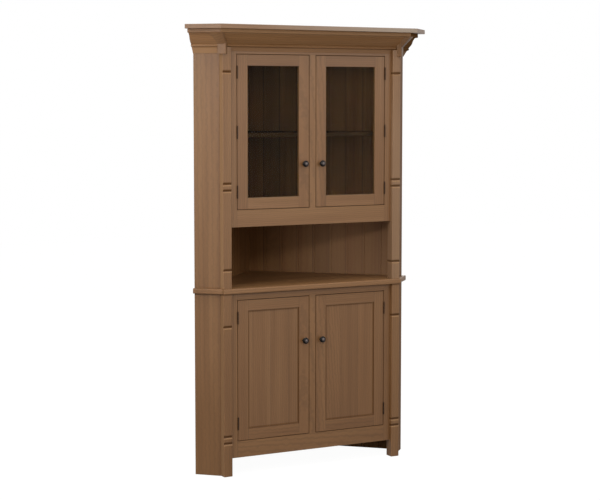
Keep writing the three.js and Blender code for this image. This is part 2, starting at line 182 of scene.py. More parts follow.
# %% Floor
WHITE_SHARE, WHITE_SEEN, WHITE_IN_GLOSS = 0.8, 1.21, 0.6
PAPER_GRIT = 2.5 * MM
bpy.ops.mesh.primitive_plane_add(size=24, location=(0, 0, 0))
floor = bpy.context.active_object
floor.name = "paper_floor"
paper, tree, shader = start_finish("matt_studio_paper", Roughness=0.9)
shader.inputs["Base Color"].default_value = colour("#A29F9A")
place = add_node(tree, "ShaderNodeTexCoord").outputs["Object"]
grit = add_node(tree, "ShaderNodeTexNoise", {"Vector": place, "Scale": 1 / PAPER_GRIT}).outputs[0]
grit = add_node(tree, "ShaderNodeBump", {"Strength": 0.05, "Height": grit}).outputs[0]
tree.links.new(grit, shader.inputs["Normal"])
rays = add_node(tree, "ShaderNodeLightPath").outputs
to_eye = {0: rays["Is Camera Ray"], 1: rays["Is Transmission Ray"]}
to_eye = add_node(tree, "ShaderNodeMath", to_eye, operation="MAXIMUM").outputs[0]
glow = {"Value": to_eye, "To Min": WHITE_IN_GLOSS, "To Max": WHITE_SEEN}
glow = add_node(tree, "ShaderNodeMapRange", glow).outputs[0]
white = add_node(tree, "ShaderNodeEmission", {"Color": (1, 1, 1, 1), "Strength": glow}).outputs[0]
direct = {0: looked_at(tree), 1: WHITE_SHARE}
direct = add_node(tree, "ShaderNodeMath", direct, operation="MULTIPLY").outputs[0]
both = add_node(tree, "ShaderNodeMixShader", {0: direct, 1: shader.outputs[0], 2: white}).outputs[0]
tree.links.new(both, tree.nodes["Material Output"].inputs["Surface"])
floor.data.materials.append(paper)
print("floor", floor.name)

# %% [markdown]
# The wood is a plain hardwood, planed, stained a middle brown and given a satin lacquer. Four
# things make it: slow changes of tone along each board, growth rings that the saw cut at a slant
# and so show as long arches, fine pores that took more stain, and a thin gloss over all. Each is a
# pattern stretched along the grain, so every pattern is read in a space whose Z runs with the
# grain. One function makes that space for any direction, and another draws a streaky noise in it.

# %% Grain space
def grain_space(tree, direction):
    turn = Vector(direction).rotation_difference(Vector((0, 0, 1))).to_euler()
    place = add_node(tree, "ShaderNodeTexCoord").outputs["Object"]
    return add_node(tree, "ShaderNodeMapping", {"Vector": place, "Rotation": turn}).outputs[0]


def streaks(tree, space, width, length):
    squeezed = {0: space, 1: (1, 1, width / length)}
    squeezed = add_node(tree, "ShaderNodeVectorMath", squeezed, operation="MULTIPLY").outputs[0]
    noise = {"Vector": squeezed, "Scale": 1 / width, "Detail": 3, "Roughness": 0.55}
    return add_node(tree, "ShaderNodeTexNoise", noise).outputs[0]


quarter = Vector((1, 0, 0)).rotation_difference(Vector((0, 0, 1))).to_euler()
print("grain along X turns by", [round(math.degrees(angle)) for angle in quarter])

# %% [markdown]
# A frame is made of uprights and rails whose grain crosses at each joint. The drawing has it as one
# solid, so the finish tells the two apart by place: inside a span of x, and above or below the
# opening, it is a rail. Both halves of the cupboard are alike, so x is measured from the middle
# plane to either side. The joint shows as a hairline, drawn 0.7 mm wide so that it can be seen.

# %% Rails and joint lines
JOINT_LINE = 0.7 * MM


def places(tree):
    axes = add_node(tree, "ShaderNodeTexCoord").outputs["Object"]
    axes = add_node(tree, "ShaderNodeSeparateXYZ", {0: axes}).outputs
    away = add_node(tree, "ShaderNodeMath", {0: axes["X"]}, operation="ABSOLUTE").outputs[0]
    return away, axes


def rail_mask(tree, inner, outer, low, high, whole_span):
    away, axes = places(tree)
    half = JOINT_LINE / 2
    above = add_node(tree, "ShaderNodeMath", {0: axes["Z"], 1: high}, operation="GREATER_THAN").outputs[0]
    below = add_node(tree, "ShaderNodeMath", {0: axes["Z"], 1: low}, operation="LESS_THAN").outputs[0]
    ends = add_node(tree, "ShaderNodeMath", {0: above, 1: below}, operation="ADD").outputs[0]
    span = add_node(tree, "ShaderNodeMath", {0: away, 1: outer}, operation="LESS_THAN").outputs[0]
    line = add_node(tree, "ShaderNodeMath", {0: away, 1: outer, 2: half}, operation="COMPARE").outputs[0]
    if not whole_span:
        past = add_node(tree, "ShaderNodeMath", {0: away, 1: inner}, operation="GREATER_THAN").outputs[0]
        span = add_node(tree, "ShaderNodeMath", {0: past, 1: span}, operation="MULTIPLY").outputs[0]
        near = add_node(tree, "ShaderNodeMath", {0: away, 1: inner, 2: half}, operation="COMPARE").outputs[0]
        line = add_node(tree, "ShaderNodeMath", {0: near, 1: line}, operation="ADD").outputs[0]
    rail = add_node(tree, "ShaderNodeMath", {0: span, 1: ends}, operation="MULTIPLY").outputs[0]
    return rail, add_node(tree, "ShaderNodeMath", {0: line, 1: ends}, operation="MULTIPLY").outputs[0]


print("joint lines are", round(JOINT_LINE / MM, 1), "mm wide")

# %% [markdown]
# Dark brown lines are laid into narrow gaps, as wax and painted shade, and some proud edges are
# painted pale, as painted highlights. Each such mark is laid on through a mask that is 1 where the
# mark is. Most follow the edges of a rectangle, such as a door's, or lie in bands at given heights.
# Masks by place stay put on the wood in every view.

# %% Lines and bands
EVERYWHERE = 9.0  # m, wider than the cupboard


def edge_lines(tree, inner, outer, low, high, reach):
    away, axes = places(tree)
    uprights = (away, inner, outer, axes["Z"], low, high)
    rails = (axes["Z"], low, high, away, inner, outer)
    runs = []
    for along, first, last, across, start, end in (uprights, rails):
        near, far = {0: along, 1: first, 2: reach}, {0: along, 1: last, 2: reach}
        near = add_node(tree, "ShaderNodeMath", near, operation="COMPARE").outputs[0]
        far = add_node(tree, "ShaderNodeMath", far, operation="COMPARE").outputs[0]
        edges = add_node(tree, "ShaderNodeMath", {0: near, 1: far}, operation="ADD").outputs[0]
        span = {0: across, 1: (start + end) / 2, 2: (end - start) / 2 + reach}
        span = add_node(tree, "ShaderNodeMath", span, operation="COMPARE").outputs[0]
        runs.append(add_node(tree, "ShaderNodeMath", {0: edges, 1: span}, operation="MULTIPLY").outputs[0])
    return add_node(tree, "ShaderNodeMath", {0: runs[0], 1: runs[1]}, operation="MAXIMUM").outputs[0]


def bands(tree, heights, reach, within=EVERYWHERE):
    away, axes = places(tree)
    inside = add_node(tree, "ShaderNodeMath", {0: away, 1: within}, operation="LESS_THAN").outputs[0]
    total = 0.0
    for height in heights:
        off = add_node(tree, "ShaderNodeMath", {0: axes["Z"], 1: height}, operation="SUBTRACT").outputs[0]
        off = add_node(tree, "ShaderNodeMath", {0: off}, operation="ABSOLUTE").outputs[0]
        fall = {"Value": off, "From Min": reach / 2, "From Max": reach, "To Min": 1.0, "To Max": 0.0}
        band = add_node(tree, "ShaderNodeMapRange", fall).outputs[0]
        total = add_node(tree, "ShaderNodeMath", {0: total, 1: band}, operation="ADD").outputs[0]
    return add_node(tree, "ShaderNodeMath", {0: total, 1: inside}, operation="MULTIPLY").outputs[0]


print("lines and bands can be drawn")

# %% [markdown]
# Painted light is less even. In the niche it grows from the back corner towards the front, where the
# room's light falls in, and on the cap's front edge it grows towards one end: a ramp, times the place
# it belongs to. The posts' outer strips, beyond a line on both sides, are painted lighter all over.

# %% Uneven painted light
def niche_light_ramp(tree, height, reach, near, far):
    away = places(tree)[0]
    ramp = {"Value": away, "From Min": near, "From Max": far}
    ramp = add_node(tree, "ShaderNodeMapRange", ramp).outputs[0]
    lit_band = {0: bands(tree, [height], reach), 1: ramp}
    return add_node(tree, "ShaderNodeMath", lit_band, operation="MULTIPLY").outputs[0]


def edge_light_ramp(tree, front, near, far, depth):
    axes = places(tree)[1]
    ramp = {"Value": axes["X"], "From Min": near, "From Max": far}
    ramp = add_node(tree, "ShaderNodeMapRange", ramp).outputs[0]
    edge = {0: axes["Y"], 1: front, 2: depth}
    edge = add_node(tree, "ShaderNodeMath", edge, operation="COMPARE").outputs[0]
    return add_node(tree, "ShaderNodeMath", {0: ramp, 1: edge}, operation="MULTIPLY").outputs[0]


def beyond(tree, edge):
    away = places(tree)[0]
    return add_node(tree, "ShaderNodeMath", {0: away, 1: edge}, operation="GREATER_THAN").outputs[0]


# these three masks draw painted light
print("three kinds of wear can be drawn")

# %% [markdown]
# A wide board is glued up from narrow ones, and a back is a row of them. Counting boards across the
# grain gives each a number, by which it takes its own piece of the pattern and its own tone. The
# share of a board left after the count shows where the dark seam between two of them lies.

# %% Boards and seams
SEAM = 0.5 * MM


def board_steps(tree, direction, width, start, seam=SEAM):
    place = add_node(tree, "ShaderNodeTexCoord").outputs["Object"]
    across = {0: place, 1: direction}
    across = add_node(tree, "ShaderNodeVectorMath", across, operation="DOT_PRODUCT").outputs[1]
    moved = {0: across, 1: start - seam / 2}
    moved = add_node(tree, "ShaderNodeMath", moved, operation="SUBTRACT").outputs[0]
    count = add_node(tree, "ShaderNodeMath", {0: moved, 1: width}, operation="DIVIDE").outputs[0]
    number = add_node(tree, "ShaderNodeMath", {0: count}, operation="FLOOR").outputs[0]
    share = add_node(tree, "ShaderNodeMath", {0: count}, operation="FRACT").outputs[0]
    line = add_node(tree, "ShaderNodeMath", {0: share, 1: seam / width}, operation="LESS_THAN").outputs[0]
    return number, line


print("seams are", round(SEAM / MM, 1), "mm wide")

# %% [markdown]
# Now the wood itself. The three tones are the stain where it took least, middling and most, over
# stretches 60 mm wide. The rings lie 9 mm apart, and their axis leans a little out of the board,
# which is what makes arches. Between them run streaks 5 mm wide and pores 1 mm wide and 37 mm
# long, a little coarser than real ones so that they show. Rings, streaks and pores darken the tone.

# %% Pattern of the wood
STREAKS = ((62.5, 1250), (4.762, 190.5), (1.111, 37))  # width and length of each kind, mm
RING_GAP = 9.24 * MM  # at a scale of 1, a ring texture draws 20 / tau rings to the metre
HEART = (0.043, 0.071, 0)  # how far off the middle of the rings lies, m


def wood_pattern(tree, space, tones, lean, rings):
    slow, fine, pores = [streaks(tree, space, width * MM, length * MM) for width, length in STREAKS]
    leaning = (math.radians(lean), math.radians(lean / 2), 0)
    tilted = {"Vector": space, "Rotation": leaning, "Location": HEART}
    tilted = add_node(tree, "ShaderNodeMapping", tilted).outputs[0]
    wave = {
        "Vector": tilted, "Scale": math.tau / (20 * RING_GAP), "Distortion": 3.5,
        "Detail": 2, "Detail Scale": 1.1, "Detail Roughness": 0.5,
    }
    ring = add_node(tree, "ShaderNodeTexWave", wave, wave_type="RINGS", rings_direction="Z").outputs[1]
    stain = add_node(tree, "ShaderNodeValToRGB", {0: slow})
    stops = stain.color_ramp.elements
    stops[0].position, stops[1].position = 0.3, 0.7
    stops[0].color, stops[1].color = colour(tones[2]), colour(tones[0])
    stops.new(0.5).color = colour(tones[1])
    tone = stain.outputs[0]
    darkening = ((ring, 0.5, 1.0, 1 - rings), (fine, 0.35, 0.65, 0.93), (pores, 0.60, 0.74, 0.88))
    for value, low, high, least in darkening:
        fall = {"Value": value, "From Min": low, "From Max": high, "To Min": 1.0, "To Max": least}
        shade = add_node(tree, "ShaderNodeMapRange", fall).outputs[0]
        tone = {0: tone, "Scale": shade}
        tone = add_node(tree, "ShaderNodeVectorMath", tone, operation="SCALE").outputs[0]
    return tone, fine, pores


print("rings are", round(RING_GAP / MM, 1), "mm apart")

# %% [markdown]
# Marks lie over the wood's tone, each a mask with its share and its colour: wax, and painted shade
# and light. Every mark is treated as matt, so it takes the same share off the gloss.

# %% Marks over the tone
def laid_marks(tree, tone, shine, marks):
    for make_mask, values, share, other in marks:
        amount = {"Value": make_mask(tree, **values), "To Max": share}
        amount = add_node(tree, "ShaderNodeMapRange", amount).outputs[0]
        mixed = {0: amount, 6: tone, 7: colour(other)}
        tone = add_node(tree, "ShaderNodeMix", mixed, data_type="RGBA").outputs[2]
        left = add_node(tree, "ShaderNodeMath", {0: 1.0, 1: amount}, operation="SUBTRACT").outputs[0]
        shine = add_node(tree, "ShaderNodeMath", {0: shine, 1: left}, operation="MULTIPLY").outputs[0]
    return tone, shine


print("marks can be laid on")

# %% [markdown]
# The finish puts it together. On a frame the grain turns at the joints. On boards it jumps at each
# seam, and each board has a tone of its own. The lacquer is satin, which gives soft, broad
# highlights: a roughness near 0.4, a little higher on the streaks. Pores and streaks are also a
# faint relief.

# %% Stained wood
UPRIGHT, ALONG_FRONT = (0, 0, 1), (1, 0, 0)
BOARD_JUMP = (0.31, 0.173, 1.7)  # from one board's piece of the pattern to the next, m
SEAM_TONE = "#3A2A1E"


def stained_wood(
    name, grain, tones, rail=None, boards=None, marks=(),
    lean=1.5, rings=0.16, gloss=0.5, dull=0.0, vary=0.05, lift=1.0,
):
    material, tree, shader = start_finish(name, IOR=1.48)
    shader.inputs["Specular IOR Level"].default_value = gloss
    space = grain_space(tree, grain)
    line = None
    if rail:
        mask, line = rail_mask(tree, **rail)
        crossed = {0: mask, 4: space, 5: grain_space(tree, ALONG_FRONT)}
        space = add_node(tree, "ShaderNodeMix", crossed, data_type="VECTOR").outputs[1]
    if boards:
        number, line = board_steps(tree, **boards)
        jump = {0: BOARD_JUMP, "Scale": number}
        jump = add_node(tree, "ShaderNodeVectorMath", jump, operation="SCALE").outputs[0]
        space = add_node(tree, "ShaderNodeVectorMath", {0: space, 1: jump}).outputs[0]
    tone, fine, pores = wood_pattern(tree, space, tones, lean, rings)
    if boards:
        own = add_node(tree, "ShaderNodeTexWhiteNoise", {"W": number}, noise_dimensions="1D").outputs[0]
        own = {"Value": own, "To Min": 1 - vary, "To Max": 1 + vary}
        own = add_node(tree, "ShaderNodeMapRange", own).outputs[0]
        tone = add_node(tree, "ShaderNodeVectorMath", {0: tone, "Scale": own}, operation="SCALE").outputs[0]
    if line:
        lined = {0: line, 6: tone, 7: colour(SEAM_TONE)}
        tone = add_node(tree, "ShaderNodeMix", lined, data_type="RGBA").outputs[2]
    if marks:
        tone, shine = laid_marks(tree, tone, gloss, marks)
        tree.links.new(shine, shader.inputs["Specular IOR Level"])
    tone = add_node(tree, "ShaderNodeVectorMath", {0: tone, "Scale": lift}, operation="SCALE").outputs[0]
    tree.links.new(tone, shader.inputs["Base Color"])
    satin = {"Value": fine, "From Min": 0.3, "From Max": 0.7, "To Min": 0.36 + dull, "To Max": 0.47 + dull}
    tree.links.new(add_node(tree, "ShaderNodeMapRange", satin).outputs[0], shader.inputs["Roughness"])
    ridges = add_node(tree, "ShaderNodeMath", {0: pores, 1: fine}, operation="ADD").outputs[0]
    relief = {"Strength": 0.12, "Distance": 0.4 * MM, "Height": ridges}
    tree.links.new(add_node(tree, "ShaderNodeBump", relief).outputs[0], shader.inputs["Normal"])
    return material


print("stained wood can be made for grain along", UPRIGHT, "or", ALONG_FRONT)

# %% [markdown]
# The case, the doors and the inside took the stain a little differently, so each has its own three
# tones. A drawn piece is dressed by giving its first material slot the finish.

# %% Tones
CASE = ("#8D6640", "#855E39", "#7B5532")
DOOR = ("#8B643F", "#835C38", "#795331")
INSIDE = ("#8A623D", "#815A36", "#774F2F")
# brown of wax, also used for painted shade in gaps, in notches and under the counter
WAX_AND_SHADE = "#47290F"


def dress(node, material):
    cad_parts[node].data.materials[0] = material


upright_case = stained_wood("satin_stained_wood_upright", UPRIGHT, CASE)
print("first wood", upright_case.name)

# %% [markdown]
# Posts and side panels have upright grain. The roof of each cut across a post is darkened with brown
# wax and painted shade, and the lip below it is painted pale as a highlight. The post's narrow outer
# strip is painted pale as well, as light. A dark painted shadow lies under the counter, and the foot
# of each side panel is painted a little darker, as shade. The upper right post is painted paler, as
# light, and the right side panel has lost its gloss, as in the photo.

# %% Wood on the posts and sides
counter_z, post_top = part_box("counter_top")[1].z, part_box("upper_post_left")[1].z
NOTCHES = {
    "lower": [0.157, 0.189, 0.714],
    "upper": [counter_z + 0.085, counter_z + 0.460, counter_z + 0.492, post_top - 0.118],
}
SIDE_GLOSS = {"left": 0.5, "right": 0.03}
LIT_STRIP_SHARE = {"lower": 0.35, "upper": 0.65}
post_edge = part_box("upper_post_right")[1].x - 0.3 * MM
# painted shadow: a dark band under the counter, on the posts, sides and face frames
painted_shadow_under_counter = (bands, {"heights": [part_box("counter_top")[0].z], "reach": 6 * MM}, 0.6, WAX_AND_SHADE)
# painted shade: the side panels darker towards the floor
shaded_foot = (bands, {"heights": [0.0], "reach": 0.6}, 0.15, "#5A3A1C")
# painted light: a paler band over most of the upper right post
painted_light_on_post = (bands, {"heights": [counter_z + 0.35], "reach": 0.8}, 0.3, "#A98E76")


def post_marks(unit, side):
    # painted shade in each notch's roof, and a painted highlight on the lip below it
    shaded_roofs = {"heights": [z + 4 * MM for z in NOTCHES[unit]], "reach": 6.5 * MM, "within": post_edge}
    lit_lips = {"heights": [z - 5 * MM for z in NOTCHES[unit]], "reach": 3.5 * MM, "within": post_edge}
    # painted light over the post's outer strip
    lit_strip = (beyond, {"edge": post_edge}, LIT_STRIP_SHARE[unit], "#B68F6A")
    first = [painted_light_on_post] if (unit, side) == ("upper", "right") else []
    return [*first, (bands, shaded_roofs, 0.7, WAX_AND_SHADE), (bands, lit_lips, 0.5, "#A8835C"), lit_strip, painted_shadow_under_counter]


for side in SIDES:
    look = {"marks": [shaded_foot, painted_shadow_under_counter], "rings": 0.12, "gloss": SIDE_GLOSS[side]}
    side_wood = stained_wood(f"satin_stained_wood_side_{side}", UPRIGHT, CASE, **look)
    for unit in UNITS:
        marks = post_marks(unit, side)
        post_wood = stained_wood(f"satin_stained_wood_{unit}_post_{side}", UPRIGHT, CASE, marks=marks)
        dress(f"{unit}_post_{side}", post_wood)
        dress(f"{unit}_side_{side}", side_wood)
print("posts and sides finished")

# %% [markdown]
# The crown's side runs follow the side panels, at 45 degrees to the front, and so does their grain.
# The bead at the crown's foot and the fillet under the cap are painted pale, as light, and the left
# run is painted lighter, as light. The right run and the right corner block face away from the lamps;
# they are painted darker, as shade, and given less gloss.

# %% Wood on the crown
# painted light on the left run and painted shade on the right run
LIT_AND_SHADED_RUN_LOOK = {"left": {"gloss": 0.5, "lift": 1.22}, "right": {"gloss": 0.0, "lift": 0.8}}
shaded_block = stained_wood("satin_stained_wood_block_right_shaded", UPRIGHT, CASE, gloss=0.2, lift=0.85)
block_wood_with_shade = {"left": upright_case, "right": shaded_block}
bead_z, fillet_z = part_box("crown_left")[0].z + 10 * MM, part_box("crown_front")[1].z - 8 * MM
# pale bands painted on the bead and the fillet, as light
lit_bead = (bands, {"heights": [bead_z], "reach": 22 * MM}, 0.6, "#B08A68")
lit_fillet = (bands, {"heights": [fillet_z], "reach": 18 * MM}, 0.6, "#A5805E")
for side, sign in SIDES.items():
    look = {"marks": [lit_bead], **LIT_AND_SHADED_RUN_LOOK[side]}
    run_wood = stained_wood(f"satin_stained_wood_slanted_{side}", (sign, 1, 0), CASE, **look)
    dress(f"crown_{side}", run_wood)
    dress(f"corner_block_{side}", block_wood_with_shade[side])
look = {"marks": [lit_fillet], "gloss": 0.25}
dress("crown_front", stained_wood("satin_stained_wood_crown_front", ALONG_FRONT, CASE, **look))
print("crown finished")

# %% [markdown]
# The counter and the cap are glued up from boards 112 mm wide that run with the front. The cap's
# front edge is painted pale as a highlight, more and more towards the right.

# %% Wood on the counter and the cap
glued = {"direction": (0, 1, 0), "width": 112 * MM, "start": -0.33}
# painted highlight along the cap's front edge, stronger towards the right
cap_edge_light = {"front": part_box("top_cap")[0].y, "near": -0.35, "far": 0.45, "depth": 2 * MM}
BOARD_LOOK = {
    "counter_top": {"lift": 1.06, "gloss": 0.5},
    "top_cap": {"lift": 0.92, "gloss": 0.7, "marks": [(edge_light_ramp, cap_edge_light, 0.95, "#AE9D8C")]},
}
for name, look in BOARD_LOOK.items():
    dress(name, stained_wood(f"satin_stained_wood_{name}", ALONG_FRONT, CASE, boards=glued, **look))
print("counter and cap finished")

# %% [markdown]
# The face frames and the door frames change grain at their joints, and a dark line of wax and
# painted shade runs round the gap at each door. Spans and openings are worked out from the door
# frames' boxes, so the lines fall exactly where the drawing has the joints.

# %% Wood on the frames
MULLION, DOOR_GAP = 35 * MM, 2 * MM
STILE, FOOT_RAIL, HEAD_RAIL = 55 * MM, 54 * MM, 52 * MM
GAP_SHADE_REACH = 1.0 * MM


def door_area(node):
    low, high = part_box(node)
    inner, outer = sorted((abs(low.x), abs(high.x)))
    return {"inner": inner, "outer": outer, "low": low.z, "high": high.z}


# a thin dark line round a door's gap: wax and painted shade
def gap_wax_and_shade(area, share):
    return (edge_lines, {**area, "reach": GAP_SHADE_REACH}, share, WAX_AND_SHADE)


sight = {}
for unit in UNITS:
    door = door_area(f"{unit}_door_left_frame")
    hole = {
        "inner": MULLION / 2, "outer": door["outer"] + DOOR_GAP,
        "low": door["low"] - DOOR_GAP, "high": door["high"] + DOOR_GAP,
    }
    sight[unit] = {
        "inner": door["inner"] + STILE, "outer": door["outer"] - STILE,
        "low": door["low"] + FOOT_RAIL, "high": door["high"] - HEAD_RAIL,
    }
    look = {"rail": {**hole, "whole_span": True}, "marks": [gap_wax_and_shade(hole, 0.6), painted_shadow_under_counter]}
    dress(f"{unit}_face_frame", stained_wood(f"satin_stained_wood_{unit}_frame", UPRIGHT, CASE, **look))
    marks = [gap_wax_and_shade(door, 0.6)] + ([gap_wax_and_shade(sight[unit], 0.5)] if unit == "lower" else [])
    look = {"rail": {**sight[unit], "whole_span": False}, "marks": marks}
    door_wood = stained_wood(f"satin_stained_wood_{unit}_door", UPRIGHT, DOOR, **look)
    for side in SIDES:
        dress(f"{unit}_door_{side}_frame", door_wood)
    print(unit, "doors span", round(door["inner"], 4), "to", round(door["outer"], 4))

# %% [markdown]
# Each lower panel is glued up from three boards, with a soft painted shadow where it meets its frame.
# The rings lean more than in a frame, so that arches show on boards as wide as these.

# %% Wood on the panels
low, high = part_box("lower_door_right_panel")
panel_boards = {"direction": (1, 0, 0), "width": (high.x - low.x) / 3, "start": low.x}
# painted shadow round the panel, inside its frame
panel_shadow_line = (edge_lines, {**sight["lower"], "reach": 7.5 * MM}, 0.35, WAX_AND_SHADE)
look = {"boards": panel_boards, "marks": [panel_shadow_line], "lean": 2.2, "rings": 0.17}
panel_wood = stained_wood("satin_stained_wood_panel", UPRIGHT, DOOR, **look)
for side in SIDES:
    dress(f"lower_door_{side}_panel", panel_wood)
print("panel boards are", round(panel_boards["width"] / MM, 1), "mm wide")

# %% [markdown]
# Inside, the wood is only oiled, so it is duller. The backs are rows of upright boards, whose seams
# are drawn 2 mm wide so that they show. The right back is painted lighter than the left, and paler
# still in the niche, more and more towards the front, as painted light. Decks and shelves run with
# the front, and the shelf behind the glass is painted darker, as shade.

# %% Wood on the backs and shelves
slant = math.sqrt(0.5)
back_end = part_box("lower_back_left")[1].y
# painted light in the niche, on the right back, growing towards the front
NICHE_LIGHT = {"height": counter_z + 0.144, "reach": 0.26, "near": 0.02, "far": 0.30}
LIT_AND_SHADED_BACK_LOOK = {
    "left": {"lift": 0.98},
    "right": {"lift": 1.08, "marks": [(niche_light_ramp, NICHE_LIGHT, 0.36, "#A8886E")]},
}
for side, sign in SIDES.items():
    planks = {"direction": (sign * slant, -slant, 0), "width": 88 * MM, "start": -slant * back_end}
    planks["seam"] = 2 * MM
    look = {"boards": planks, "rings": 0.1, "vary": 0.12, "gloss": 0.12, "dull": 0.2}
    plank_wood = stained_wood(f"oiled_wood_planks_{side}", UPRIGHT, INSIDE, **look, **LIT_AND_SHADED_BACK_LOOK[side])
    for unit in UNITS:
        dress(f"{unit}_back_{side}", plank_wood)
shelf_boards = {"direction": (0, 1, 0), "width": 120 * MM, "start": -0.25}
look = {"boards": shelf_boards, "gloss": 0.12, "dull": 0.2}
shelf_wood = stained_wood("oiled_wood_shelf", ALONG_FRONT, INSIDE, **look)
for name in ("bottom_board", "lower_shelf", "upper_deck"):
    dress(name, shelf_wood)
# the upper shelf painted darker, as shade
SHADED_SHELF_TONES = ("#4A3320", "#46301E", "#422D1C")
look = {"boards": shelf_boards, "rings": 0.05, "vary": 0.02, "gloss": 0.0, "dull": 0.3}
dress("upper_shelf", stained_wood("shaded_stained_wood_shelf", ALONG_FRONT, SHADED_SHELF_TONES, **look))
print("inside finished")

# %% [markdown]
# Real edges are never knife sharp: a maker eases them with a pass of sandpaper, and the eased edge
# catches a thin line of light. The drawn solids are loose triangles, so three live modifiers do
# it: Weld joins them, Decimate clears the edges inside flat faces, and Bevel rounds what is left.

# %% Eased edges
EASED = {  # width of the eased edge by a word in the node's name, mm
    "post": 1.2, "side": 1.0, "face_frame": 0.8, "frame": 1.4, "panel": 0.6, "back": 0.5, "board": 1.0,
    "shelf": 1.2, "deck": 1.0, "top": 0.8, "cap": 1.5, "block": 1.4, "crown": 0.5,
}


def ease(node, width):
    weld = node.modifiers.new("weld", "WELD")
    weld.merge_threshold = 0.01 * MM
    clear = node.modifiers.new("clear_flats", "DECIMATE")
    clear.decimate_type = "DISSOLVE"
    clear.angle_limit = math.radians(0.5)
    bevel = node.modifiers.new("eased_edge", "BEVEL")
    bevel.width = width * MM
    bevel.segments = 2
    bevel.limit_method = "ANGLE"
    bevel.angle_limit = math.radians(32)
    bevel.harden_normals = True


eased = 0
for name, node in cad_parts.items():
    width = next((w for word, w in EASED.items() if word in name and "hinge" not in name), None)
    if width:
        ease(node, width)
        eased += 1
print("eased", eased, "nodes")

# %% [markdown]
# The panes are clear float glass, 4 mm thick, with a coat against reflections, as on a display
# cupboard: the dark inside shows through with hardly a gleam. Glass has next to no colour of its
# own at that thickness, only a trace of green. A low IOR stands for the coat, because it is what
# sets how much a pane mirrors, and bends the view through it less.

# %% Glass
GLASS_WAVE = 62.5 * MM
float_glass, tree, shader = start_finish("coated_float_glass", Roughness=0.0, IOR=1.12)
shader.inputs["Transmission Weight"].default_value = 1.0
place = add_node(tree, "ShaderNodeTexCoord").outputs["Object"]
slow = add_node(tree, "ShaderNodeTexNoise", {"Vector": place, "Scale": 1 / GLASS_WAVE}).outputs[0]
tint = {0: slow, 6: colour("#E6EBE6"), 7: colour("#F2F4F0")}
tint = add_node(tree, "ShaderNodeMix", tint, data_type="RGBA").outputs[2]
tree.links.new(tint, shader.inputs["Base Color"])
for side in SIDES:
    dress(f"upper_door_{side}_glass", float_glass)
print("glazed two doors")

# %% [markdown]
# The knobs are cast zinc plated to an antique bronze, nearly black, under a thin wax. The middle of
# their fronts is a lighter metal, a painted highlight for their bright spot. Hinges and screws are
# browned, oiled steel, a little lighter where rubbed. The catches are brown moulded nylon with magnets
# of bare ground steel. Mottling is about 8 mm wide, and the nylon's grain 1 mm, coarser than real.

# %% Metals and nylon
MOTTLE, NYLON_GRAIN = 7.692 * MM, 1.111 * MM


def worn_metal(name, dark, rubbed_and_glint, roughness, coat, front=None):
    material, tree, shader = start_finish(name, Metallic=0.85)
    shader.inputs["Coat Weight"].default_value = coat
    shader.inputs["Coat Roughness"].default_value = 0.12
    place = add_node(tree, "ShaderNodeTexCoord").outputs["Object"]
    mottled = {"Vector": place, "Scale": 1 / MOTTLE, "Detail": 4}
    mottled = add_node(tree, "ShaderNodeTexNoise", mottled).outputs[0]
    share = {"Value": mottled, "From Min": 0.45, "From Max": 0.75}
    share = add_node(tree, "ShaderNodeMapRange", share).outputs[0]
    # a painted highlight: towards the knob's front the tone turns to the lighter metal
    if front is not None:
        depth = add_node(tree, "ShaderNodeSeparateXYZ", {0: place}).outputs["Y"]
        crown = {"Value": depth, "From Min": front + 2.6 * MM, "From Max": front + 0.6 * MM}
        crown = add_node(tree, "ShaderNodeMapRange", crown).outputs[0]
        share = add_node(tree, "ShaderNodeMath", {0: share, 1: 0.25}, operation="MULTIPLY").outputs[0]
        share = add_node(tree, "ShaderNodeMath", {0: share, 1: crown}, operation="MAXIMUM").outputs[0]
    tone = {0: share, 6: colour(dark), 7: colour(rubbed_and_glint)}
    tone = add_node(tree, "ShaderNodeMix", tone, data_type="RGBA").outputs[2]
    tree.links.new(tone, shader.inputs["Base Color"])
    rough = {"Value": mottled, "To Min": roughness - 0.06, "To Max": roughness + 0.08}
    tree.links.new(add_node(tree, "ShaderNodeMapRange", rough).outputs[0], shader.inputs["Roughness"])
    dents = {"Strength": 0.06, "Distance": 0.2 * MM, "Height": mottled}
    tree.links.new(add_node(tree, "ShaderNodeBump", dents).outputs[0], shader.inputs["Normal"])
    return material


knob_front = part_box("upper_door_left_knob")[0].y
bronze = worn_metal("antique_bronze_waxed", "#0B0907", "#635A58", 0.28, 0.1, knob_front)
hinge_steel = worn_metal("browned_steel_oiled", "#33241A", "#443023", 0.5, 0.0)
bare_steel = worn_metal("bare_ground_steel", "#8E8C88", "#A9A7A2", 0.35, 0.0)
nylon, tree, shader = start_finish("brown_moulded_nylon", Roughness=0.5)
place = add_node(tree, "ShaderNodeTexCoord").outputs["Object"]
grain = add_node(tree, "ShaderNodeTexNoise", {"Vector": place, "Scale": 1 / NYLON_GRAIN}).outputs[0]
tone = {0: grain, 6: colour("#3B2C22"), 7: colour("#463529")}
tone = add_node(tree, "ShaderNodeMix", tone, data_type="RGBA").outputs[2]
tree.links.new(tone, shader.inputs["Base Color"])
relief = {"Strength": 0.1, "Distance": 0.1 * MM, "Height": grain}
tree.links.new(add_node(tree, "ShaderNodeBump", relief).outputs[0], shader.inputs["Normal"])
print("metals", bronze.name, hinge_steel.name, bare_steel.name, "and", nylon.name)

# %% [markdown]
# Small parts are modelled as by hand: a primitive is added, its faces are picked by their place or
# normal, and operators shape them. An operator acts on all that is selected, so the first helper
# lets go of everything else. Small sizes are in millimetres from here on.

# %% Helpers for picking
def alone(*pieces):
    if bpy.context.object and bpy.context.object.mode != "OBJECT":
        bpy.ops.object.mode_set(mode="OBJECT")
    bpy.ops.object.select_all(action="DESELECT")
    for piece in pieces:
        piece.select_set(True)
    bpy.context.view_layer.objects.active = pieces[0]
    return pieces[0]


